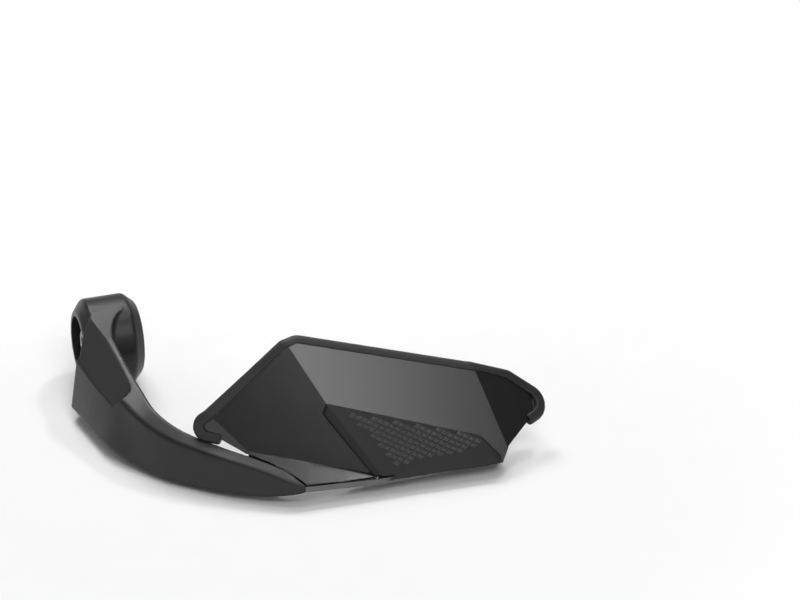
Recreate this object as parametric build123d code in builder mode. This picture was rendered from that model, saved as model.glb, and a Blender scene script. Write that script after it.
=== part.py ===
from build123d import *
from math import cos, radians, sin
import os

os.makedirs("parts", exist_ok=True)

# Frame: origin on the bore axis at the boss's inboard seat, +X inboard along the bore,
# +Y to the rear, +Z up. The plate corner is the front lower corner where the plate leaves the nose.
corner_inset = 40.0
corner_reach = 137.5
corner_drop = 22.5

# Bar end boss
boss_length = 28.5
boss_radius = 22.5
boss_face_radius = 18.5
boss_bevel_length = 7.0
boss_taper_length = 8.5
collar_radius = 15.3
recess_radius = 13.2
recess_depth = 12.0
socket_radius = 11.2
socket_depth = 8.0

# Bar end bolt, washer and sleeve
bolt_thread_radius = 3.9
bolt_shank_radius = 3.55
thread_start = -7.0
bolt_length = 20.0
bolt_head_radius = 6.5
bolt_head_height = 8.0
bolt_key_width = 6.0
bolt_key_depth = 4.5
bolt_head_chamfer = 0.8
bolt_tip_chamfer = 1.0
bolt_gap = 0.2
washer_radius = 11.0
washer_thickness = 1.6
sleeve_radius = 6.2

# Bracket plate
plate_thickness = 2.7
plate_base = 0.3
plate_width = 14.0
plate_taper = 11.0
plate_taper_side = 0.6
plate_corner_round = 2.5
plate_kink_x = 35.3
plate_kink_y = -3.0
plate_end_x = 94.1
plate_end_y = 0.5
tongue_width = 6.0
tongue_length = 31.0
tongue_heading = 34.0
tongue_inset = 0.15
slot_gap = 0.15

# Arm screws and their inserts
arm_screw_radius = 1.5
arm_screw_head_radius = 2.8
arm_screw_head_height = 1.7
arm_screw_insets = (16.0, 5.0)
arm_screw_seats = (-1.6, -2.9)
arm_screw_reach = 3.6
arm_screw_recess = 8.0
arm_screw_key = 2.0
arm_screw_key_depth = 1.1
arm_insert_radius = 2.1
arm_insert_length = 4.0
hole_gap = 0.2

# Shield panel: front facet lean and sweep, and how far each side facet falls back
panel_wall = 3.0
facet_lean = 0.717
facet_sweep = -0.0926
facet_base_x = 33.0
facet_base_y = 0.5
facet_base_z = 3.2
left_fold_place = (33.0, 3.1)
left_fold_slope = -0.5487
left_fall = 0.22
flange_fold_place = (-18.6, 12.9)
flange_fold_slope = -0.9855
flange_fall = 0.25
right_fold_place = (87.8, 37.5)
right_fold_slope = -0.274
right_fall = 0.447
foot_height = 2.5
foot_outline = [(36.0, 2.0), (93.0, -2.5), (93.0, 13.2), (36.0, 9.9)]

# Lip from the left facet forward to the plate: three points of its top, then its plan
lip_rear = (-18.6, 22.4, 12.9)
lip_corner = (1.5, 1.0, 4.3)
lip_end = (33.0, 0.5, 3.9)
lip_wall = 2.4
lip_edge = [
    (1.4, 0.6),
    (-0.6, 3.9),
    (-6.0, 10.2),
    (-11.7, 15.6),
    (-18.8, 21.0),
    (-17.0, 24.5),
    (34.5, 3.0),
    (34.0, -2.0),
]
lip_groove_depth = 1.4
lip_groove_height = 0.5
lip_groove_ends = (2.6, 33.0)

# Soft edge trim
trim_width = 4.6
trim_depth = 6.0
trim_round = 1.3
right_corner_radius = 6.0
left_corner_radius = 4.0
upper_corner_radius = 6.0
knee_radius = 4.0
crease_overlap = 0.1
fold_span = 50.0
right_trim_way = [(79.4, 42.1), (103.7, 32.2), (121.3, 17.4), (109.0, 14.5)]
front_trim_way = [(95.5, 37.1), (9.9, 55.1), (-2.5, 52.3)]
left_trim_way = [(13.0, 55.8), (3.7, 53.7), (-36.3, 22.4)]
flange_trim_way = [(-26.9, 29.8), (-40.2, 19.4), (-28.0, 16.5)]

# Impact pad
pad_rise = 2.0
pad_bottom = 0.9
stud_radius = 2.0
stud_tail = 0.8
stud_places = ((31.0, 18.0), (68.0, 12.0))
nut_radius = 5.0
nut_thickness = 1.0

# Shield screws, washers and inserts
shield_screw_x = (44.3, 88.5)
shield_screw_y = 7.0
shield_screw_radius = 2.0
shield_screw_head_radius = 3.4
shield_screw_head_height = 2.0
shield_screw_head_chamfer = 0.9
shield_screw_key = 2.5
shield_screw_key_depth = 1.2
shield_screw_reach = 5.0
shield_washer_radius = 4.3
shield_washer_thickness = 0.8
screw_boss_radius = 4.6
screw_boss_height = 12.0
shield_insert_radius = 2.9
shield_insert_length = 5.5

plate_top = plate_base + plate_thickness


def at(x, y, z):
    """A point measured from the plate corner."""
    return Vector(corner_inset + x, y - corner_reach, z - corner_drop)


def upright(x, y, z=0.0):
    """A level plane measured from the plate corner."""
    return Plane(origin=at(x, y, z), x_dir=(1, 0, 0), z_dir=(0, 0, 1))


# Arm stations from the nose to the elbow. Each is an upright section square to the arm's heading:
# crease place x and y, heading, crease height, then outward distance and height of the top edge,
# the heel, the keel and the foot, and the corner rounding.
nose_to_elbow = [
    (0.8, -0.7, 20, 3.3, (1.3, 3.9), (1.5, 0.9), (0.6, 0.4), (-0.1, 0.9), 0.2),
    (-1.6, 0.2, 24, 4.2, (2.4, 5.2), (3.0, 0.0), (1.0, -0.6), (-0.6, 0.3), 0.5),
    (-5.8, 2.5, 27, 5.6, (4.7, 7.4), (6.0, -1.4), (1.5, -2.0), (-1.4, -0.6), 1.0),
    (-12.2, 7.3, 33, 7.7, (5.5, 9.7), (8.0, -3.0), (0.2, -3.5), (-2.6, -1.4), 1.3),
    (-20.6, 13.4, 36, 9.9, (5.8, 12.0), (9.2, -4.4), (0.0, -4.8), (-3.2, -2.2), 1.5),
    (-29.4, 20.0, 38, 11.6, (6.4, 13.8), (9.8, -5.0), (0.0, -5.4), (-3.2, -2.8), 1.6),
    (-39.6, 29.2, 42, 13.1, (6.2, 16.2), (10.5, -5.4), (0.2, -5.8), (-3.0, -3.2), 1.7),
    (-49.6, 39.4, 50, 15.2, (6.6, 18.9), (12.0, -5.2), (0.6, -6.0), (-3.0, -3.2), 1.8),
    (-58.0, 52.5, 64, 18.4, (7.6, 22.4), (13.0, -3.8), (0.6, -5.4), (-3.6, -2.6), 1.9),
    (-64.0, 69.6, 76, 22.8, (10.7, 26.0), (13.0, -1.6), (-2.4, -3.4), (-7.6, 1.2), 1.9),
    (-68.6, 85.0, 82, 27.3, (13.0, 30.4), (13.2, 0.2), (-2.0, -0.8), (-6.2, 2.4), 1.7),
    (-74.2, 108.8, 90, 34.6, (16.2, 37.1), (13.7, 1.0), (-1.5, 1.0), (-4.5, 3.5), 1.2),
]

chamfer_share = 0.62

# Shoulder between the last station and the boss
shoulder_front_x = -79.2
shoulder_inner_x = -60.6
front_wall_lean = 0.152
inner_wall_lean = 0.08
shoulder_levels = (1.0, 47.0)
shoulder_rear = [(-68.6, 120.8), (-62.0, 131.0), (-47.6, 131.0), (-47.4, 128.2)]
shoulder_hollow = (-54.2, 121.4)
shoulder_step = 1.8
top_slope_y = 0.30
top_slope_x = 0.10
top_point = (-64.4, 134.2, 44.1)

# Scoop in the outer upper corner of the arm
ridge_front = (-59.5, 82.0, 28.5)
ridge_rear = (-64.4, 134.2, 44.1)
scoop_normal = (-0.624, -0.308, 0.719)
scoop_depth = 0.5
scoop_round = 7.6
scoop_start = -6.0
scoop_middle = 4.5
scoop_end = 75.0
scoop_end_width = 24.4
scoop_clearance = 25.0


def station_plane(x, y, heading):
    """Upright plane square to the arm, its x axis pointing away from the front face."""
    turn = radians(heading)
    return Plane(origin=at(x, y, 0), x_dir=(sin(turn), cos(turn), 0), z_dir=(cos(turn), -sin(turn), 0))


bore_plane = Plane(origin=(0, 0, 0), x_dir=(0, 1, 0), z_dir=(-1, 0, 0))
ridge_way = Vector(*ridge_rear) - Vector(*ridge_front)
scoop_plane = Plane(
    origin=at(*ridge_front) - Vector(*scoop_normal) * scoop_depth,
    x_dir=ridge_way,
    z_dir=scoop_normal,
)
top_plane = Plane(origin=at(*top_point), z_dir=(-top_slope_x, -top_slope_y, 1))

# Bevel along the shoulder's lower front corner, in line with the last station's foot
elbow_x, elbow_y = nose_to_elbow[-1][:2]
elbow_keel, elbow_foot = nose_to_elbow[-1][6:8]
foot_way = Vector(elbow_keel[0] - elbow_foot[0], 0, elbow_keel[1] - elbow_foot[1])
foot_bevel_plane = Plane(
    origin=at(elbow_x + elbow_foot[0], elbow_y, elbow_foot[1]),
    x_dir=foot_way,
    z_dir=foot_way.cross(Vector(0, 1, 0)),
)

# Plan of the bracket plate, with its tongue for the arm's slot
tongue_turn = radians(tongue_heading)
tongue_way = Vector(-cos(tongue_turn), sin(tongue_turn), 0)
tongue_side = Vector(sin(tongue_turn), cos(tongue_turn), 0)
tongue_front = at(0, tongue_inset, 0)
tongue_rear = tongue_front + tongue_side * tongue_width
plate_kink = at(plate_kink_x, plate_kink_y, 0)
plate_end = at(plate_end_x, plate_end_y, 0)
plate_across = Vector(0, plate_width, 0)
plate_outline = [
    tongue_front,
    plate_kink,
    plate_end,
    plate_end + plate_across,
    plate_kink + plate_across,
    plate_kink + plate_across - Vector(plate_taper, plate_taper_side, 0),
    tongue_rear,
    tongue_rear + tongue_way * tongue_length,
    tongue_front + tongue_way * tongue_length,
]
tongue_centre = tongue_front + tongue_side * (tongue_width / 2)
arm_screw_spots = [tongue_centre + tongue_way * (tongue_length - inset) for inset in arm_screw_insets]
shield_screw_spots = [at(x, shield_screw_y, 0) for x in shield_screw_x]


def level(height):
    """Level plane at a height above the plate corner, in plan coordinates of the frame."""
    return Plane(origin=(0, 0, height - corner_drop), x_dir=(1, 0, 0), z_dir=(0, 0, 1))


def plan(points):
    """Plan coordinates of points."""
    return [(point.X, point.Y) for point in points]


def stand(spot, height):
    """Level plane centred on a plan spot."""
    return Plane(origin=(spot.X, spot.Y, height - corner_drop), x_dir=(1, 0, 0), z_dir=(0, 0, 1))


# Arm
with BuildPart() as arm:
    for height in shoulder_levels:
        front_x = shoulder_front_x + front_wall_lean * height
        inner_x = shoulder_inner_x + inner_wall_lean * height
        with BuildSketch(upright(0, 0, height)):
            with BuildLine():
                Polyline((inner_x, elbow_y), (front_x, elbow_y), *shoulder_rear)
                ThreePointArc(shoulder_rear[-1], shoulder_hollow, (inner_x, elbow_y + shoulder_step))
                Line((inner_x, elbow_y + shoulder_step), (inner_x, elbow_y))
            make_face()
    loft(ruled=True)
    split(bisect_by=top_plane, keep=Keep.BOTTOM)
    split(bisect_by=foot_bevel_plane, keep=Keep.TOP)
    for x, y, heading, crease, top_edge, heel, keel, foot, rounding in reversed(nose_to_elbow):
        with BuildSketch(station_plane(x, y, heading)) as section:
            with BuildLine():
                Polyline((0, crease), top_edge, heel, keel, foot, (0, crease))
            make_face()
            chamfer(section.vertices(), rounding * chamfer_share)
    loft(ruled=True)
    with BuildSketch(Plane.XY) as boss_half:
        with BuildLine():
            Polyline(
                (0, 0),
                (0, boss_face_radius),
                (-boss_bevel_length, boss_radius),
                (-boss_length + boss_taper_length, boss_radius),
                (-boss_length, collar_radius),
                (-boss_length, 0),
                (0, 0),
            )
        make_face()
    revolve(axis=Axis.X)
    with BuildSketch(scoop_plane):
        with BuildLine():
            Polyline(
                (scoop_start, scoop_middle - scoop_round),
                (scoop_end, scoop_middle - scoop_round),
                (scoop_end, scoop_end_width),
                (scoop_start, scoop_middle + scoop_round),
            )
            ThreePointArc(
                (scoop_start, scoop_middle + scoop_round),
                (scoop_start - scoop_round, scoop_middle),
                (scoop_start, scoop_middle - scoop_round),
            )
        make_face()
    extrude(amount=scoop_clearance, mode=Mode.SUBTRACT)
    with BuildSketch(bore_plane.offset(boss_length)):
        Circle(recess_radius)
    extrude(amount=-recess_depth, mode=Mode.SUBTRACT)
    with BuildSketch(bore_plane):
        Circle(socket_radius)
    extrude(amount=socket_depth, mode=Mode.SUBTRACT)
    with BuildSketch(bore_plane):
        Circle(sleeve_radius)
    extrude(amount=boss_length, mode=Mode.SUBTRACT)
    with BuildSketch(level(plate_base - slot_gap)):
        with BuildLine():
            Polyline(*plan(plate_outline), close=True)
        make_face()
        offset(amount=slot_gap, kind=Kind.INTERSECTION)
    extrude(amount=plate_thickness + slot_gap, mode=Mode.SUBTRACT)
    for spot, seat in zip(arm_screw_spots, arm_screw_seats):
        with BuildSketch(stand(spot, seat)):
            Circle(arm_screw_head_radius + hole_gap)
        extrude(amount=-arm_screw_recess, mode=Mode.SUBTRACT)
        with BuildSketch(stand(spot, seat)):
            Circle(arm_screw_radius + hole_gap)
        extrude(amount=plate_base - seat, mode=Mode.SUBTRACT)
        with BuildSketch(stand(spot, plate_top)):
            RegularPolygon(arm_insert_radius, 6)
        extrude(amount=arm_insert_length, mode=Mode.SUBTRACT)
arm.part.label = "arm"
export_step(arm.part, "parts/arm.step")

# Bar end bolt, washer and sleeve
recess_floor = recess_depth - boss_length
head_seat = recess_floor - washer_thickness
with BuildPart() as boss_sleeve:
    with BuildSketch(bore_plane.offset(socket_depth)):
        Circle(sleeve_radius)
        Circle(bolt_thread_radius + bolt_gap, mode=Mode.SUBTRACT)
    extrude(amount=-recess_floor - socket_depth)
boss_sleeve.part.label = "boss_sleeve"
export_step(boss_sleeve.part, "parts/boss_sleeve.step")

with BuildPart() as bolt_washer:
    with BuildSketch(bore_plane.offset(-recess_floor)):
        Circle(washer_radius)
        Circle(bolt_thread_radius + bolt_gap, mode=Mode.SUBTRACT)
    extrude(amount=washer_thickness)
bolt_washer.part.label = "bolt_washer"
export_step(bolt_washer.part, "parts/bolt_washer.step")

with BuildPart() as bar_end_bolt:
    with BuildSketch(bore_plane.offset(-head_seat)):
        Circle(bolt_head_radius)
    extrude(amount=bolt_head_height)
    chamfer(bar_end_bolt.edges().group_by(Axis.X)[0], bolt_head_chamfer)
    with BuildSketch(bore_plane.offset(-head_seat)):
        Circle(bolt_shank_radius)
    extrude(amount=head_seat - thread_start)
    with BuildSketch(bore_plane.offset(-thread_start)):
        Circle(bolt_thread_radius)
    extrude(amount=thread_start - head_seat - bolt_length)
    chamfer(bar_end_bolt.edges().group_by(Axis.X)[-1], bolt_tip_chamfer)
    with BuildSketch(bore_plane.offset(bolt_head_height - head_seat)):
        RegularPolygon(bolt_key_width / 2, 6, major_radius=False)
    extrude(amount=-bolt_key_depth, mode=Mode.SUBTRACT)
bar_end_bolt.part.label = "bar_end_bolt"
export_step(bar_end_bolt.part, "parts/bar_end_bolt.step")

# Bracket plate
with BuildPart() as bracket_plate:
    with BuildSketch(level(plate_base)) as plate_face:
        with BuildLine():
            Polyline(*plan(plate_outline), close=True)
        make_face()
        fillet(plate_face.vertices().group_by(Axis.X)[-1], plate_corner_round)
        with Locations(*plan(arm_screw_spots)):
            Circle(arm_screw_radius + hole_gap, mode=Mode.SUBTRACT)
        with Locations(*plan(shield_screw_spots)):
            Circle(shield_screw_radius + hole_gap, mode=Mode.SUBTRACT)
    extrude(amount=plate_thickness)
bracket_plate.part.label = "bracket_plate"
export_step(bracket_plate.part, "parts/bracket_plate.step")

# Arm screws from below and their inserts above the tongue
for name, spot, seat in zip(("front", "rear"), arm_screw_spots, arm_screw_seats):
    with BuildPart() as screw:
        with BuildSketch(stand(spot, seat)):
            Circle(arm_screw_head_radius)
        extrude(amount=-arm_screw_head_height)
        with BuildSketch(stand(spot, seat)):
            Circle(arm_screw_radius)
        extrude(amount=plate_top + arm_screw_reach - seat)
        with BuildSketch(stand(spot, seat - arm_screw_head_height)):
            RegularPolygon(arm_screw_key / 2, 6, major_radius=False)
        extrude(amount=arm_screw_key_depth, mode=Mode.SUBTRACT)
    screw.part.label = "arm_screw_" + name
    export_step(screw.part, "parts/arm_screw_" + name + ".step")
    with BuildPart() as insert:
        with BuildSketch(stand(spot, plate_top)):
            RegularPolygon(arm_insert_radius, 6)
            Circle(arm_screw_radius, mode=Mode.SUBTRACT)
        extrude(amount=arm_insert_length)
    insert.part.label = "arm_insert_" + name
    export_step(insert.part, "parts/arm_insert_" + name + ".step")

# Shield facets: depth of each front surface behind the plate corner, over width x and height z


def front_depth(x, z):
    """Depth of the large facet."""
    return facet_base_y + facet_lean * (z - facet_base_z) + facet_sweep * (x - facet_base_x)


def left_fold(z):
    """Where the left facet meets the large one."""
    return left_fold_place[0] + left_fold_slope * (z - left_fold_place[1])


def right_fold(z):
    """Where the right facet meets the large one."""
    return right_fold_place[0] + right_fold_slope * (z - right_fold_place[1])


def flange_fold(z):
    """Where the outer flange meets the left facet."""
    return flange_fold_place[0] + flange_fold_slope * (z - flange_fold_place[1])


def left_depth(x, z):
    """Depth of the left facet."""
    return front_depth(x, z) + left_fall * (left_fold(z) - x)


def flange_depth(x, z):
    """Depth of the outer flange."""
    return left_depth(x, z) + flange_fall * (flange_fold(z) - x)


def right_depth(x, z):
    """Depth of the right facet."""
    return front_depth(x, z) + right_fall * (x - right_fold(z))


def facet_plane(depth):
    """Plane of a facet, its normal pointing to the rear."""
    base = depth(0, 0)
    over = depth(1, 0) - base
    up = depth(0, 1) - base
    return Plane(origin=at(0, base, 0), x_dir=(1, over, 0), z_dir=(-over, 1, -up))


def behind_facet(depth, x, z, into):
    """Point a distance into the wall, straight behind a point of a facet."""
    stretch = Vector(depth(1, 0) - depth(0, 0), 1, depth(0, 1) - depth(0, 0)).length
    return at(x, depth(x, z) + stretch * into, z)


def stud_plane(x, z):
    """Plane on the large facet at a stud's centre, its normal pointing to the rear."""
    return Plane(origin=at(x, front_depth(x, z), z), z_dir=facet_plane(front_depth).z_dir)


facets = (front_depth, left_depth, flange_depth, right_depth)
front_view = Plane(origin=at(0, 0, 0), x_dir=(1, 0, 0), z_dir=(0, -1, 0))
view_middle = (35.0, 30.0)
view_width = 260.0
view_height = 140.0
reach = 80.0

# Space behind the shield wall
with BuildPart() as hand_space:
    with BuildSketch(front_view):
        with Locations(view_middle):
            Rectangle(view_width, view_height)
    extrude(amount=reach, both=True)
    for depth in facets:
        split(bisect_by=facet_plane(depth).offset(panel_wall), keep=Keep.TOP)

# Foot and screw bosses behind the wall
with BuildPart() as panel_foot:
    with BuildSketch(level(plate_top)):
        with BuildLine():
            Polyline(*plan([at(x, y, 0) for x, y in foot_outline]), close=True)
        make_face()
    extrude(amount=foot_height)
    with BuildSketch(level(plate_top)):
        with Locations(*plan(shield_screw_spots)):
            Circle(screw_boss_radius)
    extrude(amount=screw_boss_height)
    split(bisect_by=facet_plane(front_depth).offset(panel_wall / 2), keep=Keep.TOP)

# Lip between the left facet and the plate
lip_normal = (at(*lip_corner) - at(*lip_rear)).cross(at(*lip_end) - at(*lip_rear))
lip_plane = Plane(origin=at(*lip_corner), x_dir=at(*lip_end) - at(*lip_corner), z_dir=lip_normal)
with BuildPart() as panel_lip:
    with BuildSketch(level(0)):
        with BuildLine():
            Polyline(*plan([at(x, y, 0) for x, y in lip_edge]), close=True)
        make_face()
    extrude(amount=reach)
    split(bisect_by=lip_plane, keep=Keep.BOTTOM)
    split(bisect_by=lip_plane.offset(-lip_wall), keep=Keep.TOP)
    split(bisect_by=facet_plane(left_depth).offset(panel_wall / 2), keep=Keep.BOTTOM)

lip_front_slope = (lip_edge[-1][1] - lip_edge[0][1]) / (lip_edge[-1][0] - lip_edge[0][0])
groove_points = [at(x, lip_edge[0][1] + lip_front_slope * (x - lip_edge[0][0]), 0) for x in lip_groove_ends]
panel_edge = [
    (9.9, 55.1),
    (87.5, 38.8),
    (103.7, 32.2),
    (121.3, 17.4),
    (109.0, 14.5),
    (96.4, 8.8),
    (91.5, 2.0),
    (33.0, 2.0),
    (-19.5, 11.8),
    (-28.0, 16.5),
    (-40.2, 19.4),
    (-31.6, 26.1),
    (3.7, 53.7),
]
with BuildPart() as shield_panel:
    with BuildSketch(front_view) as outline:
        with BuildLine():
            Polyline(*panel_edge, close=True)
        make_face()
        fillet(outline.vertices().sort_by(Axis.X)[-1], right_corner_radius)
        fillet(outline.vertices().sort_by(Axis.X)[0], left_corner_radius)
    extrude(amount=reach, both=True)
    for depth in facets:
        split(bisect_by=facet_plane(depth), keep=Keep.TOP)
    add(hand_space.part, mode=Mode.SUBTRACT)
    add(panel_foot.part)
    add(panel_lip.part)
    split(bisect_by=level(plate_top), keep=Keep.TOP)
    with BuildSketch(level(plate_top)):
        with BuildLine():
            Line(*plan(groove_points))
        trace(line_width=lip_groove_depth * 2)
    extrude(amount=lip_groove_height, mode=Mode.SUBTRACT)
    with BuildSketch(level(plate_top)):
        with Locations(*plan(shield_screw_spots)):
            RegularPolygon(shield_insert_radius, 6)
    extrude(amount=shield_insert_length, mode=Mode.SUBTRACT)
    for x, z in stud_places:
        with BuildSketch(stud_plane(x, z)):
            Circle(stud_radius)
        extrude(amount=panel_wall, mode=Mode.SUBTRACT)
    add(arm.part, mode=Mode.SUBTRACT)
shield_panel.part.label = "shield_panel"
export_step(shield_panel.part, "parts/shield_panel.step")

# Shield screws, washers and inserts
for name, spot in zip(("left", "right"), shield_screw_spots):
    seat = plate_base - shield_washer_thickness
    with BuildPart() as washer:
        with BuildSketch(stand(spot, plate_base)):
            Circle(shield_washer_radius)
            Circle(shield_screw_radius + hole_gap, mode=Mode.SUBTRACT)
        extrude(amount=-shield_washer_thickness)
    washer.part.label = "shield_washer_" + name
    export_step(washer.part, "parts/shield_washer_" + name + ".step")
    with BuildPart() as screw:
        with BuildSketch(stand(spot, seat)):
            Circle(shield_screw_head_radius)
        extrude(amount=-shield_screw_head_height)
        chamfer(screw.edges().group_by(Axis.Z)[0], shield_screw_head_chamfer)
        with BuildSketch(stand(spot, seat)):
            Circle(shield_screw_radius)
        extrude(amount=plate_top + shield_screw_reach - seat)
        with BuildSketch(stand(spot, seat - shield_screw_head_height)):
            RegularPolygon(shield_screw_key / 2, 6, major_radius=False)
        extrude(amount=shield_screw_key_depth, mode=Mode.SUBTRACT)
    screw.part.label = "shield_screw_" + name
    export_step(screw.part, "parts/shield_screw_" + name + ".step")
    with BuildPart() as insert:
        with BuildSketch(stand(spot, plate_top)):
            RegularPolygon(shield_insert_radius, 6)
            Circle(shield_screw_radius, mode=Mode.SUBTRACT)
        extrude(amount=shield_insert_length)
    insert.part.label = "shield_insert_" + name
    export_step(insert.part, "parts/shield_insert_" + name + ".step")

# Impact pad on the large facet, wrapped over the left fold, with two studs through the wall
pad_edge = [
    (17.4, 31.5),
    (84.2, 14.2),
    (91.8, 6.2),
    (90.3, plate_top),
    (35.0, pad_bottom),
    (29.0, 3.6),
    (15.2, 27.8),
]
with BuildPart() as shield_space:
    with BuildSketch(front_view):
        with Locations(view_middle):
            Rectangle(view_width, view_height)
    extrude(amount=reach, both=True)
    for depth in facets:
        split(bisect_by=facet_plane(depth), keep=Keep.TOP)

with BuildPart() as impact_pad:
    with BuildSketch(front_view):
        with BuildLine():
            Polyline(*pad_edge, close=True)
        make_face()
    extrude(amount=reach, both=True)
    for depth in facets:
        split(bisect_by=facet_plane(depth).offset(-pad_rise), keep=Keep.TOP)
    add(shield_space.part, mode=Mode.SUBTRACT)
    add(bracket_plate.part, mode=Mode.SUBTRACT)
    add(panel_lip.part, mode=Mode.SUBTRACT)
    for x, z in stud_places:
        with BuildSketch(stud_plane(x, z)):
            Circle(stud_radius)
        extrude(amount=panel_wall + nut_thickness + stud_tail)
impact_pad.part.label = "impact_pad"
export_step(impact_pad.part, "parts/impact_pad.step")

for name, (x, z) in zip(("left", "right"), stud_places):
    behind = stud_plane(x, z).offset(panel_wall)
    with BuildPart() as nut:
        with BuildSketch(behind):
            Circle(nut_radius)
            Circle(stud_radius, mode=Mode.SUBTRACT)
        extrude(amount=nut_thickness)
    nut.part.label = "pad_nut_" + name
    export_step(nut.part, "parts/pad_nut_" + name + ".step")

# Edge trim: a soft channel along the upper edge, one straight-laid run on each facet


def fold_plane(fold, right_side, left_side):
    """Plane through a fold that halves the angle between its two facets, facing right."""
    foot = at(fold(0), right_side(fold(0), 0), 0)
    head = at(fold(fold_span), right_side(fold(fold_span), fold_span), fold_span)
    between = facet_plane(right_side).z_dir + facet_plane(left_side).z_dir
    return Plane(origin=foot, x_dir=head - foot, z_dir=between.cross(head - foot))


right_crease = fold_plane(right_fold, front_depth, right_depth)
left_crease = fold_plane(left_fold, front_depth, left_depth)
flange_crease = fold_plane(flange_fold, left_depth, flange_depth)
trim_runs = [
    (
        right_depth,
        right_trim_way,
        [knee_radius, right_corner_radius],
        [(right_crease, Keep.TOP)],
    ),
    (
        front_depth,
        front_trim_way,
        [upper_corner_radius],
        [(right_crease, Keep.BOTTOM), (left_crease, Keep.TOP)],
    ),
    (
        left_depth,
        left_trim_way,
        [upper_corner_radius],
        [(left_crease, Keep.BOTTOM), (flange_crease, Keep.TOP)],
    ),
    (
        flange_depth,
        flange_trim_way,
        [left_corner_radius],
        [(flange_crease, Keep.BOTTOM)],
    ),
]
runs = []
for depth, places, radii, cuts in trim_runs:
    with BuildPart() as run:
        with BuildLine() as way:
            FilletPolyline(*[behind_facet(depth, x, z, panel_wall / 2) for x, z in places], radius=radii)
        with BuildSketch(Plane(origin=way.line @ 0, x_dir=facet_plane(depth).z_dir, z_dir=way.line % 0)):
            profile = Rectangle(trim_width, trim_depth)
            chamfer(profile.vertices(), trim_round)
        sweep(path=way.line)
        for crease, side in cuts:
            past = -crease_overlap if side == Keep.TOP else crease_overlap
            split(bisect_by=crease.offset(past), keep=side)
    runs.append(run.part)
with BuildPart() as edge_trim:
    for run_part in runs:
        add(run_part)
    add(shield_panel.part, mode=Mode.SUBTRACT)
edge_trim.part.label = "edge_trim"
export_step(edge_trim.part, "parts/edge_trim.step")
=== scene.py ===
from math import cos, pi, radians, sin

import bpy
from mathutils import Matrix, Vector


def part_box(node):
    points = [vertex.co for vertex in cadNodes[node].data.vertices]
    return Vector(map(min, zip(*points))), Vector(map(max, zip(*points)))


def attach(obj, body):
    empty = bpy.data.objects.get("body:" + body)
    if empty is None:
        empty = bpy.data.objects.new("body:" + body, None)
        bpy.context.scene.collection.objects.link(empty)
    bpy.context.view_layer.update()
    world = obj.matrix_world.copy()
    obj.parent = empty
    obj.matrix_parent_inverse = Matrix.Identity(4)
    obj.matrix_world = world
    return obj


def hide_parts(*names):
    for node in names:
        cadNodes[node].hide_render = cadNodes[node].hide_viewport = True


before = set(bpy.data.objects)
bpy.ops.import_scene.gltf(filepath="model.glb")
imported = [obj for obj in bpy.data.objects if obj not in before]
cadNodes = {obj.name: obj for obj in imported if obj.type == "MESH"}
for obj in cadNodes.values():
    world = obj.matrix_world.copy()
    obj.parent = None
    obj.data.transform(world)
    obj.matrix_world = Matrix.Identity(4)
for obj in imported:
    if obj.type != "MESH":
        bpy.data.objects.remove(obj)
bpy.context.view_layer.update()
print("frame loaded:", len(cadNodes), "nodes")

plateCorner = (40.0, -137.5, -22.5)  # the plate's front corner in the frame, in millimetres


def only(piece):
    if bpy.context.mode != "OBJECT":
        bpy.ops.object.mode_set(mode="OBJECT")
    bpy.ops.object.select_all(action="DESELECT")
    piece.select_set(True)
    bpy.context.view_layer.objects.active = piece


def edit(piece):
    only(piece)
    bpy.ops.object.mode_set(mode="EDIT")
    bpy.ops.mesh.select_mode(type="VERT")
    bpy.ops.mesh.select_all(action="DESELECT")


def done():
    bpy.ops.object.mode_set(mode="OBJECT")


def place(x, y, z):
    # millimetres from the plate's front corner, as the drawing has them, into the frame in metres
    return Vector((x + plateCorner[0], y + plateCorner[1], z + plateCorner[2])) / 1000.0


def frontSpot(spot):
    # the way back: where a point lies in the front view, in millimetres from the plate's corner
    return spot.x * 1000 - plateCorner[0], spot.z * 1000 - plateCorner[2]


def share(value):
    # held between nothing and the whole
    return max(0.0, min(1.0, value))


def copyOf(node, name):
    # a merged copy of a solid, to be softened
    piece = bpy.data.objects.new(name, cadNodes[node].data.copy())
    bpy.context.collection.objects.link(piece)
    piece.data.materials.clear()
    edit(piece)
    bpy.ops.mesh.select_all(action="SELECT")
    bpy.ops.mesh.customdata_custom_splitnormals_clear()
    bpy.ops.mesh.remove_doubles(threshold=0.000003)
    bpy.ops.mesh.select_all(action="DESELECT")
    done()
    return piece


def flatFaces(piece, angle):
    # joins triangles that lie in one plane
    edit(piece)
    bpy.ops.mesh.select_all(action="SELECT")
    bpy.ops.mesh.dissolve_limited(angle_limit=radians(angle))
    done()


def applyAll(piece):
    only(piece)
    for modifier in list(piece.modifiers):
        bpy.ops.object.modifier_apply(modifier=modifier.name)


def softEdges(piece, width, segments, angle):
    bevel = piece.modifiers.new("soft edges", "BEVEL")
    bevel.width = width
    bevel.segments = segments
    bevel.limit_method = "ANGLE"
    bevel.angle_limit = radians(angle)
    bevel.use_clamp_overlap = True
    bevel.harden_normals = False
    applyAll(piece)


def soften(piece, look):
    # even cells all over the piece, then smoothed a few rounds
    cells = piece.modifiers.new("even cells", "REMESH")
    cells.mode = "VOXEL"
    cells.voxel_size = look["cell"]
    smoother = piece.modifiers.new("soft", "SMOOTH")
    smoother.factor = 0.5
    smoother.iterations = look["soft"]
    applyAll(piece)


def smoothShade(piece, angle):
    only(piece)
    bpy.ops.object.shade_smooth_by_angle(angle=radians(angle))
    weigh = piece.modifiers.new("weighed normals", "WEIGHTED_NORMAL")
    weigh.mode = "FACE_AREA"
    weigh.weight = 50
    weigh.keep_sharp = True
    applyAll(piece)


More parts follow.
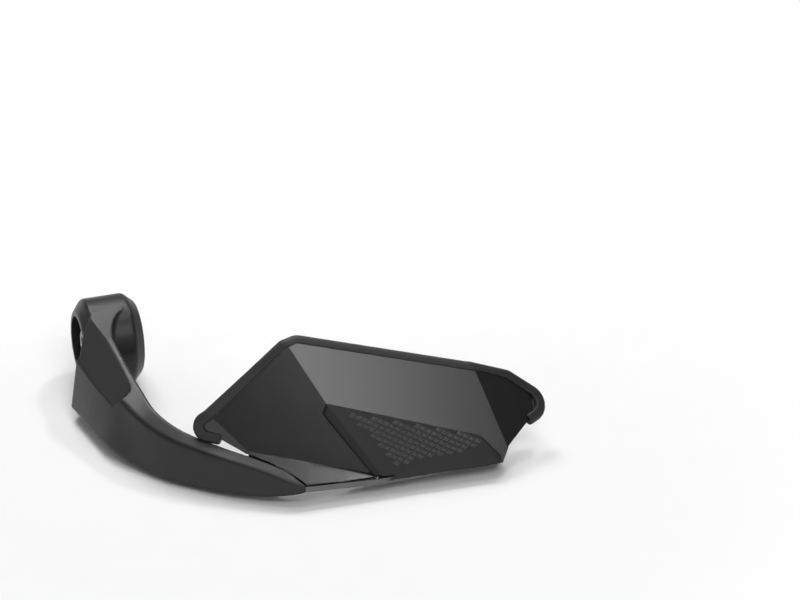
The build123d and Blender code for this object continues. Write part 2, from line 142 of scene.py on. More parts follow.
def skin(name, rings):
    # closed skin over rings of points: a sheet bent round, merged along its seam and filled at both ends
    around = len(rings[0])
    bpy.ops.object.select_all(action="DESELECT")
    bpy.ops.mesh.primitive_grid_add(x_subdivisions=around, y_subdivisions=len(rings) - 1, size=1)
    piece = bpy.context.object
    piece.name = name
    for vert in piece.data.vertices:
        step = round((vert.co.x + 0.5) * around)
        row = round((vert.co.y + 0.5) * (len(rings) - 1))
        vert.co = rings[row][step % around]
    edit(piece)
    bpy.ops.mesh.select_all(action="SELECT")
    bpy.ops.mesh.remove_doubles(threshold=0.0000005)
    bpy.ops.mesh.select_all(action="SELECT")
    bpy.ops.mesh.fill_holes(sides=0)
    bpy.ops.mesh.select_all(action="SELECT")
    bpy.ops.mesh.normals_make_consistent(inside=False)
    done()
    return piece


def cutBeyond(piece, spot, way):
    # cuts away what lies beyond a plane and closes the cut
    edit(piece)
    bpy.ops.mesh.select_all(action="SELECT")
    bpy.ops.mesh.bisect(plane_co=spot, plane_no=way, use_fill=True, clear_outer=True)
    done()


def rod(name, start, end, radius):
    # round rod between two points
    along = end - start
    bpy.ops.object.select_all(action="DESELECT")
    bpy.ops.mesh.primitive_cylinder_add(vertices=72, radius=radius, depth=along.length)
    piece = bpy.context.object
    piece.name = name
    turn = along.to_track_quat("Z", "Y").to_matrix().to_4x4()
    piece.data.transform(Matrix.Translation((start + end) / 2) @ turn)
    return piece


def combine(piece, other, how):
    # joins or cuts with another closed piece, which is then gone
    work = piece.modifiers.new(how.lower(), "BOOLEAN")
    work.operation = how
    work.solver = "EXACT"
    work.object = other
    applyAll(piece)
    bpy.data.objects.remove(other)


def settle(piece, material, slot, *nodes):
    piece.data.materials.clear()
    piece.data.materials.append(material)
    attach(piece, "root")
    if nodes:
        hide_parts(*nodes)


def newGroup(name, inputs, outputs):
    group = bpy.data.node_groups.new(name, "ShaderNodeTree")
    for way, sockets in (("INPUT", inputs), ("OUTPUT", outputs)):
        for socket, kind in sockets.items():
            group.interface.new_socket(socket, in_out=way, socket_type="NodeSocket" + kind)
    return group


def groupNode(tree, group, **values):
    node = tree.nodes.new("ShaderNodeGroup")
    node.node_tree = group
    for name, value in values.items():
        node.inputs[name].default_value = value
    return node


grainLook = {"detail": 3.0, "rough": 0.6, "slower": 0.04, "wideDetail": 2.0}
driftLook = {"detail": 2.0, "rough": 0.55, "low": 0.15, "high": 0.85}


def makeGrain():
    # moulded or sprayed grain: small bumps with a few wider ones
    group = newGroup("surfaceGrain", {"Vector": "Vector", "Scale": "Float", "Waviness": "Float"},
                     {"Height": "Float"})
    start = group.nodes.new("NodeGroupInput")
    fine = group.nodes.new("ShaderNodeTexNoise")
    fine.inputs["Detail"].default_value = grainLook["detail"]
    fine.inputs["Roughness"].default_value = grainLook["rough"]
    slower = group.nodes.new("ShaderNodeMath")
    slower.operation = "MULTIPLY"
    slower.inputs[1].default_value = grainLook["slower"]
    wide = group.nodes.new("ShaderNodeTexNoise")
    wide.inputs["Detail"].default_value = grainLook["wideDetail"]
    wavy = group.nodes.new("ShaderNodeMath")
    wavy.operation = "MULTIPLY"
    total = group.nodes.new("ShaderNodeMath")
    total.operation = "ADD"
    end = group.nodes.new("NodeGroupOutput")
    link = group.links.new
    link(start.outputs["Vector"], fine.inputs["Vector"])
    link(start.outputs["Scale"], fine.inputs["Scale"])
    link(start.outputs["Vector"], wide.inputs["Vector"])
    link(start.outputs["Scale"], slower.inputs[0])
    link(slower.outputs[0], wide.inputs["Scale"])
    link(wide.outputs["Fac"], wavy.inputs[0])
    link(start.outputs["Waviness"], wavy.inputs[1])
    link(fine.outputs["Fac"], total.inputs[0])
    link(wavy.outputs[0], total.inputs[1])
    link(total.outputs[0], end.inputs["Height"])
    return group


def makeDrift():
    # slow drift between two tones and between two glosses
    group = newGroup("toneDrift", {"Vector": "Vector", "Scale": "Float", "Dark": "Color", "Light": "Color",
                                   "Smooth": "Float", "Rough": "Float"},
                     {"Color": "Color", "Roughness": "Float"})
    start = group.nodes.new("NodeGroupInput")
    clouds = group.nodes.new("ShaderNodeTexNoise")
    clouds.inputs["Detail"].default_value = driftLook["detail"]
    clouds.inputs["Roughness"].default_value = driftLook["rough"]
    spread = group.nodes.new("ShaderNodeMapRange")
    spread.interpolation_type = "SMOOTHSTEP"
    spread.inputs["From Min"].default_value = driftLook["low"]
    spread.inputs["From Max"].default_value = driftLook["high"]
    tone = group.nodes.new("ShaderNodeMix")
    tone.data_type = "RGBA"
    gloss = group.nodes.new("ShaderNodeMapRange")
    end = group.nodes.new("NodeGroupOutput")
    link = group.links.new
    link(start.outputs["Vector"], clouds.inputs["Vector"])
    link(start.outputs["Scale"], clouds.inputs["Scale"])
    link(clouds.outputs["Fac"], spread.inputs["Value"])
    link(spread.outputs["Result"], tone.inputs["Factor"])
    link(start.outputs["Dark"], tone.inputs["A"])
    link(start.outputs["Light"], tone.inputs["B"])
    link(spread.outputs["Result"], gloss.inputs["Value"])
    link(start.outputs["Smooth"], gloss.inputs["To Min"])
    link(start.outputs["Rough"], gloss.inputs["To Max"])
    link(tone.outputs["Result"], end.inputs["Color"])
    link(gloss.outputs["Result"], end.inputs["Roughness"])
    return group


grainGroup = makeGrain()
driftGroup = makeDrift()


def finish(name, look):
    # one finish of the guard: drifting tone, drifting gloss and a grain in the surface
    material = bpy.data.materials.new(name)
    material.use_nodes = True
    tree = material.node_tree
    shader = tree.nodes["Principled BSDF"]
    spots = tree.nodes.new("ShaderNodeTexCoord")
    stretch = tree.nodes.new("ShaderNodeMapping")
    stretch.inputs["Scale"].default_value = look.get("stretch", (1, 1, 1))
    grain = groupNode(tree, grainGroup, Scale=look["grain"], Waviness=look["wave"])
    drift = groupNode(tree, driftGroup, Scale=look["drift"], Dark=(*look["dark"], 1),
                      Light=(*look["light"], 1), Smooth=look["smooth"], Rough=look["rough"])
    bump = tree.nodes.new("ShaderNodeBump")
    bump.inputs["Strength"].default_value = look["depth"]
    bump.inputs["Distance"].default_value = look["distance"]
    link = tree.links.new
    link(spots.outputs["Object"], stretch.inputs["Vector"])
    link(stretch.outputs["Vector"], grain.inputs["Vector"])
    link(spots.outputs["Object"], drift.inputs["Vector"])
    link(drift.outputs["Color"], shader.inputs["Base Color"])
    link(drift.outputs["Roughness"], shader.inputs["Roughness"])
    link(grain.outputs["Height"], bump.inputs["Height"])
    link(bump.outputs["Normal"], shader.inputs["Normal"])
    shader.inputs["Metallic"].default_value = look.get("metal", 0.0)
    shader.inputs["Specular IOR Level"].default_value = look.get("shine", 0.5)
    return material


print("finishes")
armCoat = finish("armCoat", {
    "dark": (0.010, 0.010, 0.0104), "light": (0.015, 0.015, 0.0154), "smooth": 0.36, "rough": 0.46,
    "grain": 3200, "wave": 0.5, "depth": 0.35, "distance": 0.00012, "drift": 38, "shine": 0.42,
})
shieldPlastic = finish("shieldPlastic", {
    "dark": (0.010, 0.010, 0.0105), "light": (0.014, 0.014, 0.0145), "smooth": 0.215, "rough": 0.23,
    "grain": 2600, "wave": 0.04, "depth": 0.2, "distance": 0.0001, "drift": 30, "shine": 0.5,
})
trimRubber = finish("trimRubber", {
    "dark": (0.014, 0.014, 0.014), "light": (0.021, 0.021, 0.021), "smooth": 0.46, "rough": 0.58,
    "grain": 3600, "wave": 0.4, "depth": 0.3, "distance": 0.0001, "drift": 45, "shine": 0.4,
})
padRubber = finish("padRubber", {
    "dark": (0.011, 0.011, 0.011), "light": (0.017, 0.017, 0.017), "smooth": 0.42, "rough": 0.5,
    "grain": 4200, "wave": 0.3, "depth": 0.15, "distance": 0.0001, "drift": 60, "shine": 0.24,
})
padGrip = finish("padGrip", {
    "dark": (0.012, 0.012, 0.012), "light": (0.018, 0.018, 0.018), "smooth": 0.30, "rough": 0.38,
    "grain": 4200, "wave": 0.3, "depth": 0.08, "distance": 0.0001, "drift": 60, "shine": 0.65,
})
plateMetal = finish("plateMetal", {
    "dark": (0.12, 0.12, 0.123), "light": (0.18, 0.18, 0.184), "smooth": 0.26, "rough": 0.36,
    "grain": 900, "wave": 0.5, "depth": 0.25, "distance": 0.00006, "drift": 55, "metal": 1.0,
    "stretch": (0.05, 1.0, 1.0),
})
boltSteel = finish("boltSteel", {
    "dark": (0.38, 0.38, 0.39), "light": (0.55, 0.55, 0.56), "smooth": 0.22, "rough": 0.36,
    "grain": 2400, "wave": 0.3, "depth": 0.2, "distance": 0.00005, "drift": 160, "metal": 1.0,
})
blackOxide = finish("blackOxide", {
    "dark": (0.035, 0.035, 0.036), "light": (0.06, 0.06, 0.061), "smooth": 0.3, "rough": 0.45,
    "grain": 2800, "wave": 0.3, "depth": 0.25, "distance": 0.00005, "drift": 150, "metal": 1.0,
})
turnedBrass = finish("turnedBrass", {
    "dark": (0.55, 0.40, 0.18), "light": (0.72, 0.55, 0.28), "smooth": 0.25, "rough": 0.4,
    "grain": 2000, "wave": 0.3, "depth": 0.2, "distance": 0.00005, "drift": 140, "metal": 1.0,
})

print("camera, floor and lights")
cameraLook = {"lens": 109.574, "sensor": 36.0, "spot": (-0.24858, -1.04043, 0.48066),
              "turn": (66.6, -0.849, -19.832)}
cameraData = bpy.data.cameras.new("camera")
cameraData.lens = cameraLook["lens"]
cameraData.sensor_width = cameraLook["sensor"]
camera = bpy.data.objects.new("camera", cameraData)
camera.location = cameraLook["spot"]
camera.rotation_euler = [radians(a) for a in cameraLook["turn"]]
bpy.context.collection.objects.link(camera)
bpy.context.scene.camera = camera
bpy.context.scene.view_settings.view_transform = "Standard"

# the guard lies on its arm and its shield's foot, so the floor is a little tilted in the frame
floorLook = {"normal": (-0.0383, -0.0600, 0.9975), "drop": 0.02226, "side": 8.0, "shade": 0.86, "drift": 0.01,
             "grain": 60, "lift": 0.02, "middle": (0.05, -0.07, -0.025), "near": 0.12, "far": 0.29}
bpy.ops.object.select_all(action="DESELECT")
bpy.ops.mesh.primitive_plane_add(size=floorLook["side"], location=(0, 0, 0))
floor = bpy.context.object
floor.name = "studioFloor"
edit(floor)
bpy.ops.mesh.select_all(action="SELECT")
bpy.ops.mesh.subdivide(number_cuts=3)
done()
up = Vector(floorLook["normal"]).normalized()
for vert in floor.data.vertices:
    vert.co.z = (-floorLook["drop"] - up.x * vert.co.x - up.y * vert.co.y) / up.z


def floorFinish():
    # pale floor: it keeps the shadow near the guard and goes to plain white further off
    material = bpy.data.materials.new("paleFloor")
    material.use_nodes = True
    tree = material.node_tree
    tree.nodes.clear()
    spots = tree.nodes.new("ShaderNodeTexCoord")
    shift = tree.nodes.new("ShaderNodeVectorMath")
    shift.operation = "SUBTRACT"
    shift.inputs[1].default_value = floorLook["middle"]
    far = tree.nodes.new("ShaderNodeVectorMath")
    far.operation = "LENGTH"
    fade = tree.nodes.new("ShaderNodeMapRange")
    fade.interpolation_type = "SMOOTHSTEP"
    fade.inputs["From Min"].default_value = floorLook["near"]
    fade.inputs["From Max"].default_value = floorLook["far"]
    fine = tree.nodes.new("ShaderNodeTexNoise")
    fine.inputs["Scale"].default_value = floorLook["grain"]
    tone = tree.nodes.new("ShaderNodeMapRange")
    tone.inputs["To Min"].default_value = floorLook["shade"] - floorLook["drift"]
    tone.inputs["To Max"].default_value = floorLook["shade"] + floorLook["drift"]
    paint = tree.nodes.new("ShaderNodeBsdfDiffuse")
    rays = tree.nodes.new("ShaderNodeLightPath")
    seen = tree.nodes.new("ShaderNodeMath")
    seen.operation = "MAXIMUM"
    lift = tree.nodes.new("ShaderNodeMath")
    lift.operation = "MULTIPLY"
    lift.inputs[1].default_value = floorLook["lift"]
    glow = tree.nodes.new("ShaderNodeEmission")
    lit = tree.nodes.new("ShaderNodeAddShader")
    white = tree.nodes.new("ShaderNodeEmission")
    both = tree.nodes.new("ShaderNodeMath")
    both.operation = "MULTIPLY"
    mix = tree.nodes.new("ShaderNodeMixShader")
    out = tree.nodes.new("ShaderNodeOutputMaterial")
    link = tree.links.new
    link(spots.outputs["Object"], shift.inputs[0])
    link(shift.outputs["Vector"], far.inputs[0])
    link(far.outputs["Value"], fade.inputs["Value"])
    link(spots.outputs["Object"], fine.inputs["Vector"])
    link(fine.outputs["Fac"], tone.inputs["Value"])
    link(tone.outputs["Result"], paint.inputs["Color"])
    link(rays.outputs["Is Camera Ray"], seen.inputs[0])
    link(rays.outputs["Is Glossy Ray"], seen.inputs[1])
    link(rays.outputs["Is Camera Ray"], lift.inputs[0])
    link(lift.outputs[0], glow.inputs["Strength"])
    link(paint.outputs[0], lit.inputs[0])
    link(glow.outputs[0], lit.inputs[1])
    link(seen.outputs[0], both.inputs[0])
    link(fade.outputs["Result"], both.inputs[1])
    link(both.outputs[0], mix.inputs["Fac"])
    link(lit.outputs[0], mix.inputs[1])
    link(white.outputs[0], mix.inputs[2])
    link(mix.outputs[0], out.inputs["Surface"])
    return material


floor.data.materials.append(floorFinish())

worldLook = {"ambient": 0.20, "above": 0.14, "low": 0.10, "high": 0.28}


def worldFinish(world):
    # white where the camera sees it and in low reflections, dimmer overhead and as fill
    world.use_nodes = True
    tree = world.node_tree
    tree.nodes.clear()
    rays = tree.nodes.new("ShaderNodeLightPath")
    ways = tree.nodes.new("ShaderNodeTexCoord")
    parts = tree.nodes.new("ShaderNodeSeparateXYZ")
    dim = tree.nodes.new("ShaderNodeMapRange")
    dim.interpolation_type = "SMOOTHSTEP"
    dim.inputs["From Min"].default_value = worldLook["low"]
    dim.inputs["From Max"].default_value = worldLook["high"]
    dim.inputs["To Min"].default_value = 1.0
    dim.inputs["To Max"].default_value = worldLook["above"]
    glossy = tree.nodes.new("ShaderNodeMix")
    glossy.data_type = "FLOAT"
    glossy.inputs["A"].default_value = worldLook["ambient"]
    through = tree.nodes.new("ShaderNodeMath")
    through.operation = "MAXIMUM"
    seen = tree.nodes.new("ShaderNodeMix")
    seen.data_type = "FLOAT"
    seen.inputs["B"].default_value = 1.0
    sky = tree.nodes.new("ShaderNodeBackground")
    sky.inputs["Color"].default_value = (1, 1, 1, 1)
    out = tree.nodes.new("ShaderNodeOutputWorld")
    link = tree.links.new
    link(rays.outputs["Is Glossy Ray"], glossy.inputs["Factor"])
    link(ways.outputs["Generated"], parts.inputs["Vector"])
    link(parts.outputs["Z"], dim.inputs["Value"])
    link(dim.outputs["Result"], glossy.inputs["B"])
    link(rays.outputs["Is Camera Ray"], through.inputs[0])
    link(rays.outputs["Is Transmission Ray"], through.inputs[1])
    link(through.outputs[0], seen.inputs["Factor"])
    link(glossy.outputs["Result"], seen.inputs["A"])
    link(seen.outputs["Result"], sky.inputs["Strength"])
    link(sky.outputs[0], out.inputs["Surface"])


studio = bpy.context.scene.world or bpy.data.worlds.new("studio")
bpy.context.scene.world = studio
worldFinish(studio)

# each box lights the faces that mirror it to the camera: facets, tops, lip, scoop and the arm's outer side
softboxes = [
    {"name": "frontBox", "way": (0.0, -0.70, 0.71), "far": 1.3, "size": (0.50, 0.50), "level": 6.2},
    {"name": "topBox", "way": (-0.06, 0.50, 0.87), "far": 1.3, "size": (0.52, 0.50), "level": 10.0},
    {"name": "overBox", "way": (0.0, -0.10, 1.0), "far": 1.3, "size": (0.50, 0.40), "level": 4.2},
    {"name": "lipBox", "way": (0.42, 0.28, 0.87), "far": 1.3, "size": (0.14, 0.14), "level": 50.0},
    {"name": "rearBox", "way": (-0.59, 0.454, 0.704), "far": 1.3, "size": (0.40, 0.40), "level": 1.3},
    {"name": "sideBox", "way": (-0.72, -0.64, 0.28), "far": 1.4, "size": (0.40, 0.40), "level": 1.6},
]
aim = Vector((0.06, -0.07, 0.0))
for box in softboxes:
    lampData = bpy.data.lights.new(box["name"], "AREA")
    lampData.shape = "RECTANGLE"
    lampData.size, lampData.size_y = box["size"]
    lampData.energy = box["level"] * pi * lampData.size * lampData.size_y
    lamp = bpy.data.objects.new(box["name"], lampData)
    lamp.location = aim + Vector(box["way"]).normalized() * box["far"]
    lamp.rotation_euler = (aim - lamp.location).to_track_quat("-Z", "Y").to_euler()
    bpy.context.collection.objects.link(lamp)

print("arm")
armLook = {"step": 1.6, "round": 0.8, "most": 0.45, "bends": (0, 0.25, 0.5, 0.75, 1), "overlap": 0.0015,
           "cell": 0.0005, "soft": 4, "edge": 35}
# each station: x, y and heading, then the height of the crease, the top edge, the heel, the keel and the foot
# as outward distance and height, and last the rounding
armStations = [
    (0.8, -0.7, 20, 3.3, (1.3, 3.9), (1.5, 0.9), (0.6, 0.4), (-0.1, 0.9), 0.2),
    (-1.6, 0.2, 24, 4.2, (2.4, 5.2), (3.0, 0.0), (1.0, -0.6), (-0.6, 0.3), 0.5),
    (-5.8, 2.5, 27, 5.6, (4.7, 7.4), (6.0, -1.4), (1.5, -2.0), (-1.4, -0.6), 1.0),
    (-12.2, 7.3, 33, 7.7, (5.5, 9.7), (8.0, -3.0), (0.2, -3.5), (-2.6, -1.4), 1.3),
    (-20.6, 13.4, 36, 9.9, (5.8, 12.0), (9.2, -4.4), (0.0, -4.8), (-3.2, -2.2), 1.5),
    (-29.4, 20.0, 38, 11.6, (6.4, 13.8), (9.8, -5.0), (0.0, -5.4), (-3.2, -2.8), 1.6),
    (-39.6, 29.2, 42, 13.1, (6.2, 16.2), (10.5, -5.4), (0.2, -5.8), (-3.0, -3.2), 1.7),
    (-49.6, 39.4, 50, 15.2, (6.6, 18.9), (12.0, -5.2), (0.6, -6.0), (-3.0, -3.2), 1.8),
    (-58.0, 52.5, 64, 18.4, (7.6, 22.4), (13.0, -3.8), (0.6, -5.4), (-3.6, -2.6), 1.9),
    (-64.0, 69.6, 76, 22.8, (10.7, 26.0), (13.0, -1.6), (-2.4, -3.4), (-7.6, 1.2), 1.9),
    (-68.6, 85.0, 82, 27.3, (13.0, 30.4), (13.2, 0.2), (-2.0, -0.8), (-6.2, 2.4), 1.7),
    (-74.2, 108.8, 90, 34.6, (16.2, 37.1), (13.7, 1.0), (-1.5, 1.0), (-4.5, 3.5), 1.2),
]


def throughPoints(places, points, along):
    # smooth run through points at known places, read at one place
    last = len(places) - 1
    gaps = [places[i + 1] - places[i] for i in range(last)]
    slopes = [(points[i + 1] - points[i]) / gaps[i] for i in range(last)]
    i = max(k for k in range(last) if places[k] <= along or k == 0)

    def lean(k):
        if k == 0 or k == last:
            return slopes[0] if k == 0 else slopes[-1]
        return (slopes[k] * gaps[k - 1] + slopes[k - 1] * gaps[k]) / (gaps[k - 1] + gaps[k])

    t = (along - places[i]) / gaps[i]
    return (points[i] * (2 * t ** 3 - 3 * t ** 2 + 1) + lean(i) * gaps[i] * (t ** 3 - 2 * t ** 2 + t)
            + points[i + 1] * (3 * t ** 2 - 2 * t ** 3) + lean(i + 1) * gaps[i] * (t ** 3 - t ** 2))


def roundCorners(corners, reach):
    # one ring of points round the section, its corners rounded
    ring = []
    for i, corner in enumerate(corners):
        before, after = corners[i - 1] - corner, corners[(i + 1) % len(corners)] - corner
        start = corner + before.normalized() * min(reach, before.length * armLook["most"])
        end = corner + after.normalized() * min(reach, after.length * armLook["most"])
        for t in armLook["bends"]:
            ring.append(start * (1 - t) ** 2 + corner * 2 * t * (1 - t) + end * t ** 2)
    return ring


def foreArm():
    # smooth forearm from the nose to the elbow, its five long edges rounded
    middles, tracks, rounds = [], [[] for _ in range(5)], []
    for x, y, heading, crease, *corners, rounding in armStations:
        turn = radians(heading)
        middles.append(place(x, y, 0))
        rounds.append(rounding / 1000)
        for track, (u, z) in zip(tracks, [(0, crease), *corners]):
            track.append(place(x + u * sin(turn), y + u * cos(turn), z))
    places = [0.0]
    for a, b in zip(middles, middles[1:]):
        places.append(places[-1] + (b - a).length * 1000)
    steps = int(places[-1] / armLook["step"])
    rings = []
    for k in range(steps + 1):
        along = places[-1] * k / steps
        corners = [throughPoints(places, track, along) for track in tracks]
        rings.append(roundCorners(corners, throughPoints(places, rounds, along) * armLook["round"]))
    rings.append([spot + Vector((0, armLook["overlap"], 0)) for spot in rings[-1]])
    return skin("armBody", rings)


# front and inner: x at the foot and its lean; hollow and hollowEnd: three points of the inner side's arc
# top and foot: a point and the way out of the plane that cuts there
shoulderLook = {"levels": (1.0, 47.0), "elbow": 108.8, "front": (-79.2, 0.152), "inner": (-60.6, 0.08),
                "outer": [(-68.6, 120.8), (-62.0, 130.4), (-48.4, 129.2)],
                "hollow": [(-48.6, 127.6), (-54.4, 121.2)], "hollowEnd": 110.6,
                "top": ((-64.4, 134.2, 42.8), (-0.05, -0.25, 1)),
                "foot": ((-78.7, 108.8, 3.5), (-2.5, 0, -3.0))}


def hollowArc(start, middle, end):
    return [start * (1 - t) * (1 - 2 * t) + middle * 4 * t * (1 - t) + end * t * (2 * t - 1)
            for t in [k / 10 for k in range(11)]]


def shoulder():
    # upright block between the elbow and the boss, hollowed on its inner side
    look = shoulderLook
    rings = []
    for z in look["levels"]:
        front, inner = [x + lean * z for x, lean in (look["front"], look["inner"])]
        ring = [place(inner, look["elbow"], z), place(front, look["elbow"], z)]
        ring += [place(x, y, z) for x, y in look["outer"]]
        ring += hollowArc(*[place(x, y, z) for x, y in [*look["hollow"], (inner, look["hollowEnd"])]])
        rings.append(ring)
    block = skin("shoulderBlock", rings)
    for spot, way in (look["top"], look["foot"]):
        cutBeyond(block, place(*spot), Vector(way))
    return block


# profile: x and radius from the inboard end to the outer collar; the lower half is a little deeper
bossLook = {"profile": [(0.0, 16.9), (-0.5, 17.6), (-4.6, 21.1), (-5.6, 21.5), (-23.6, 21.0), (-24.8, 20.4),
                        (-28.1, 16.0), (-28.5, 15.3)],
            "sides": 96, "deeper": 22.5 / 21.3, "deeperFrom": 18}


def bossBlock():
    # round boss: bevelled inboard end, straight middle, taper to the outer collar
    rings = []
    for x, radius in bossLook["profile"]:
        ring = []
        for k in range(bossLook["sides"]):
            turn = 2 * pi * k / bossLook["sides"]
            deep = bossLook["deeper"] if radius > bossLook["deeperFrom"] and sin(turn) < 0 else 1.0
            ring.append(Vector((x, radius * cos(turn), radius * sin(turn) * deep)) / 1000)
        rings.append(ring)
    return skin("bossBlock", rings)


# front and rear: two points along the scoop; outline, round and radii: millimetres along and across it
scoopLook = {"front": (-59.5, 82.0, 28.5), "rear": (-67.0, 136.0, 43.0), "out": (-0.557, -0.306, 0.788),
             "deep": 0.0009, "rise": 0.025,
             "outline": [(30.0, -3.1), (75.0, -3.1), (75.0, 36.0), (30.0, 18.5)],
             "round": (-4.0, 6.6), "radii": (7.2, 7.0), "turn": 12}


def scoopCutter():
    # block that takes away the outer upper corner, round at its lower end
    front, rear = place(*scoopLook["front"]), place(*scoopLook["rear"])
    out = Vector(scoopLook["out"]).normalized()
    along = (rear - front).normalized()
    along = (along - out * along.dot(out)).normalized()
    over = out.cross(along)
    base = front - out * scoopLook["deep"]
    (u0, v0), (long, high) = scoopLook["round"], scoopLook["radii"]
    outline = scoopLook["outline"] + [(u0 - long * sin(radians(a)), v0 + high * cos(radians(a)))
                                      for a in range(0, 181, scoopLook["turn"])]
    rings = [[base + (along * u + over * v) / 1000 + out * rise for u, v in outline]
             for rise in (0, scoopLook["rise"])]
    return skin("scoopCutter", rings)


# start, end and radius of each bore on the bolt's axis
boreLook = {"boreCutter": (-0.035, -0.0165, 0.0132), "sleeveCutter": (-0.030, 0.002, 0.0062),
            "socketCutter": (-0.008, 0.003, 0.0112)}


def boreCutter():
    # the recess for the bolt's head, the sleeve's bore and the inboard socket
    first, *others = [rod(name, Vector((start, 0, 0)), Vector((end, 0, 0)), radius)
                      for name, (start, end, radius) in boreLook.items()]
    for other in others:
        combine(first, other, "UNION")
    return first


holdLook = {"room": 0.00015, "below": 0.008, "seat": 0.0017, "head": 0.0030, "shank": 0.0021}


def holdCutter():
    # the slot for the plate's tongue and the pockets for its two screws
    cutter = copyOf("bracket_plate", "holdCutter")
    flatFaces(cutter, 1)
    edit(cutter)
    bpy.ops.mesh.select_all(action="SELECT")
    bpy.ops.transform.shrink_fatten(value=holdLook["room"], use_even_offset=True)
    done()
    for side in ("front", "rear"):
        low, high = [Vector(corner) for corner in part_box("arm_screw_" + side)]
        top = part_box("arm_insert_" + side)[1][2]
        middle = (low + high) / 2
        levels = (low.z - holdLook["below"], low.z + holdLook["seat"], top)
        foot, seat, end = [Vector((middle.x, middle.y, z)) for z in levels]
        combine(cutter, rod("headPocket", foot, seat, holdLook["head"]), "UNION")
        combine(cutter, rod("screwPocket", seat, end, holdLook["shank"]), "UNION")
    return cutter


armBody = foreArm()
combine(armBody, shoulder(), "UNION")
combine(armBody, bossBlock(), "UNION")
combine(armBody, scoopCutter(), "DIFFERENCE")
soften(armBody, armLook)
combine(armBody, boreCutter(), "DIFFERENCE")
combine(armBody, holdCutter(), "DIFFERENCE")
smoothShade(armBody, armLook["edge"])
print("arm faces", len(armBody.data.polygons))
settle(armBody, armCoat, "arm_coat", "arm")

print("edge trim")
# lower: how far the outer edge is drawn in, growing over "over" and fading to nothing at the two ends
# longer: how far each end is drawn out, from which x and over how much
trimLook = {"lower": 1.2, "least": 0.2, "over": 2.6, "ends": (-34, 112), "fades": (16, 12),
            "longer": {"left": (1.1, -24, 10), "right": (1.3, 100, 14)},
            "cell": 0.00035, "soft": 14, "edge": 60}
trimWay = [(-28.0, 16.5), (-40.2, 19.4), (-31.6, 26.1), (3.7, 53.7), (9.9, 55.1), (87.5, 38.8), (103.7, 32.2),
           (121.3, 17.4), (109.0, 14.5)]


def outOfWay(x, z):
    # distance outside the panel's edge, and the way out, seen from the front
    best = None
    for (ax, az), (bx, bz) in zip(trimWay, trimWay[1:]):
        wide, high = bx - ax, bz - az
        t = share(((x - ax) * wide + (z - az) * high) / (wide * wide + high * high))
        gap = ((x - ax - t * wide) ** 2 + (z - az - t * high) ** 2) ** 0.5
        size = (wide * wide + high * high) ** 0.5
        side = (-high * (x - ax) + wide * (z - az)) / size
        if best is None or gap < best[0]:
            best = (gap, side, (-high / size, wide / size))
    return best[1:]


def shapeTrim(piece):
    left, right = trimLook["ends"]
    fadeLeft, fadeRight = trimLook["fades"]
    for vert in piece.data.vertices:
        x, z = frontSpot(vert.co)
        side, (overX, overZ) = outOfWay(x, z)
        if side > trimLook["least"] and left < x < right:
            inward = (trimLook["lower"] * min(1.0, side / trimLook["over"])
                      * min(1.0, (x - left) / fadeLeft, (right - x) / fadeRight))
            vert.co -= Vector((overX * inward, 0, overZ * inward)) / 1000
        longer, start, reach = trimLook["longer"]["left"]
        vert.co.x -= longer / 1000 * share((start - x) / reach)
        longer, start, reach = trimLook["longer"]["right"]
        vert.co.x += longer / 1000 * share((x - start) / reach)


trimBody = copyOf("edge_trim", "trimBody")
shapeTrim(trimBody)
soften(trimBody, trimLook)
smoothShade(trimBody, trimLook["edge"])
print("trim faces", len(trimBody.data.polygons))
settle(trimBody, trimRubber, "trim_rubber", "edge_trim")

print("bracket plate")
plateLook = {"round": 0.0005, "segments": 3, "edge": 40}
plateBody = copyOf("bracket_plate", "plateBody")
flatFaces(plateBody, 1)
softEdges(plateBody, plateLook["round"], plateLook["segments"], plateLook["edge"])
smoothShade(plateBody, plateLook["edge"])
settle(plateBody, plateMetal, "plate_steel", "bracket_plate")

print("impact pad")
# foot: where the pad's lower edge starts, then its rise and run; the edge is lifted over "over" millimetres
# corner: how far the lower left corner moves right, less with height and with distance from it
padLook = {"foot": (35.0, 0.9, 2.1, 55.3), "from": 30, "lift": 0.8, "over": 3, "corner": 3.5,
           "height": (20, 17), "reach": (60, 25), "cell": 0.0003, "soft": 24, "edge": 60}


def shapePad(piece):
    # the lower edge stands a little clear of the plate's foot
    startX, startZ, rise, run = padLook["foot"]
    top, fadeUp = padLook["height"]
    last, fadeOver = padLook["reach"]
    for vert in piece.data.vertices:
        x, z = frontSpot(vert.co)
        edge = startZ + rise * (x - startX) / run
        if x > padLook["from"] and z < edge + padLook["over"]:
            vert.co.z += padLook["lift"] / 1000 * (1 - max(0.0, z - edge) / padLook["over"])
        vert.co.x += padLook["corner"] / 1000 * share((top - z) / fadeUp) * share((last - x) / fadeOver)


padBody = copyOf("impact_pad", "padBody")
shapePad(padBody)
soften(padBody, padLook)
smoothShade(padBody, padLook["edge"])
print("pad faces", len(padBody.data.polygons))
settle(padBody, padRubber, "pad_rubber", "impact_pad")

print("pad diamonds")
# facet: a point of the panel's large facet, its slope up and its fall across
# wide and tall: the two diagonals of a diamond; field: the corners of the patch that they fill
diamondLook = {"facet": (33.0, 0.5, 3.2), "slope": 0.717, "fall": 0.0926, "rise": 2.0, "sink": 0.1,
               "bump": 0.8, "point": 0.94, "wide": (4.57, -0.33, 0.14), "tall": (0.25, -1.76, -2.42),
               "start": (54.0, 18.0), "count": 24, "margin": 1.3,
               "field": ((24.0, 28.2), (83.5, 14.4), (86.6, 8.4), (43.0, 5.0))}
facetOut = Vector((-diamondLook["fall"], -1.0, diamondLook["slope"])).normalized()


def facetDepth(x, z):
    spotX, spotY, spotZ = diamondLook["facet"]
    return spotY + diamondLook["slope"] * (z - spotZ) - diamondLook["fall"] * (x - spotX)


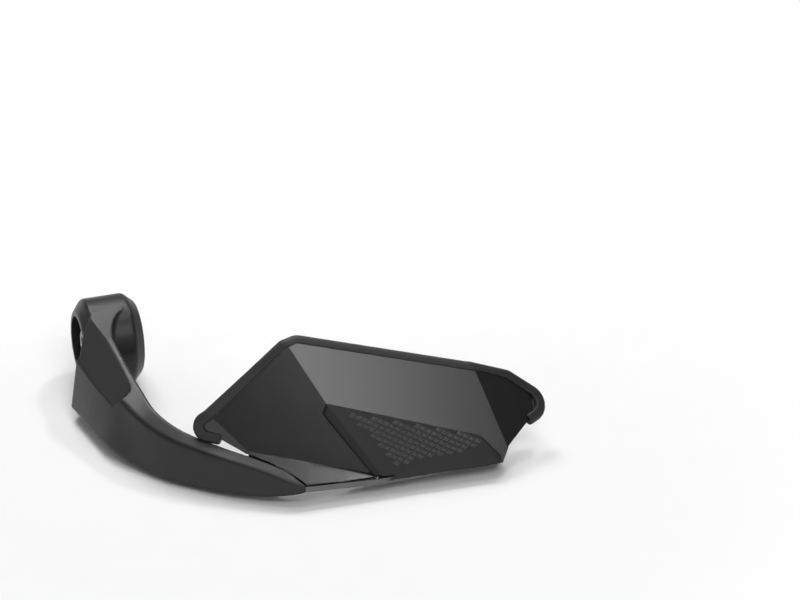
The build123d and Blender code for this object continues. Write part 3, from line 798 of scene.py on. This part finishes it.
def insideField(x, z):
    corners = diamondLook["field"]
    for (ax, az), (bx, bz) in zip(corners, [*corners[1:], corners[0]]):
        size = ((bx - ax) ** 2 + (bz - az) ** 2) ** 0.5
        if ((bx - ax) * (z - az) - (bz - az) * (x - ax)) / size >= -diamondLook["margin"]:
            return False
    return True


def oneDiamond(wide, tall):
    # low four-sided bump on the facet's slope
    bpy.ops.object.select_all(action="DESELECT")
    bpy.ops.mesh.primitive_cone_add(vertices=4, radius1=1.0, radius2=0.0, depth=1.0, end_fill_type="NOTHING")
    diamond = bpy.context.object
    diamond.name = "padDiamonds"
    edit(diamond)
    bpy.ops.mesh.select_all(action="SELECT")
    bpy.ops.mesh.subdivide(number_cuts=1)
    bpy.ops.mesh.flip_normals()  # the two diagonals mirror it, so that its faces point out again
    done()
    for vert in diamond.data.vertices:
        height = (vert.co.z + 0.5) * diamondLook["point"]
        rise = diamondLook["rise"] - diamondLook["sink"] + height * diamondLook["bump"]
        local = wide * (vert.co.x / 2) + tall * (vert.co.y / 2)
        vert.co = local / 1000.0 + facetOut * (rise / 1000.0)
    return diamond


def diamondField():
    # a copy of the one diamond for each place in the field, all joined
    wide, tall = Vector(diamondLook["wide"]), Vector(diamondLook["tall"])
    first = oneDiamond(wide, tall)
    copies = []
    startX, startZ = diamondLook["start"]
    count = range(-diamondLook["count"], diamondLook["count"] + 1)
    for a, b in [(a, b) for a in count for b in count]:
        along = wide * (a + b) / 2 + tall * (a - b) / 2
        x, z = startX + along.x, startZ + along.z
        if insideField(x, z):
            mesh = first.data.copy()
            mesh.transform(Matrix.Translation(place(x, facetDepth(x, z), z)))
            bump = bpy.data.objects.new("padBump", mesh)
            bpy.context.collection.objects.link(bump)
            copies.append(bump)
    bpy.ops.object.select_all(action="DESELECT")
    bpy.data.objects.remove(first)
    for bump in copies:
        bump.select_set(True)
    bpy.context.view_layer.objects.active = copies[0]
    bpy.ops.object.join()
    field = bpy.context.object
    field.name = "padDiamonds"
    print("diamonds", len(copies))
    return field


padDiamonds = diamondField()
only(padDiamonds)
bpy.ops.object.shade_flat()
settle(padDiamonds, padGrip, "pad_rubber")

print("kept solids")
keptSolids = [
    (shieldPlastic, ["shield_panel"]),
    (boltSteel, ["bar_end_bolt", "boss_sleeve", "pad_nut_left", "pad_nut_right"]),
    (blackOxide, ["bolt_washer", "arm_screw_front", "arm_screw_rear", "shield_screw_left",
                  "shield_screw_right", "shield_washer_left", "shield_washer_right"]),
    (turnedBrass, ["arm_insert_front", "arm_insert_rear", "shield_insert_left", "shield_insert_right"]),
]
for material, names in keptSolids:
    for name in names:
        mesh = cadNodes[name].data
        mesh.materials.clear()
        mesh.materials.append(material)

print("done")
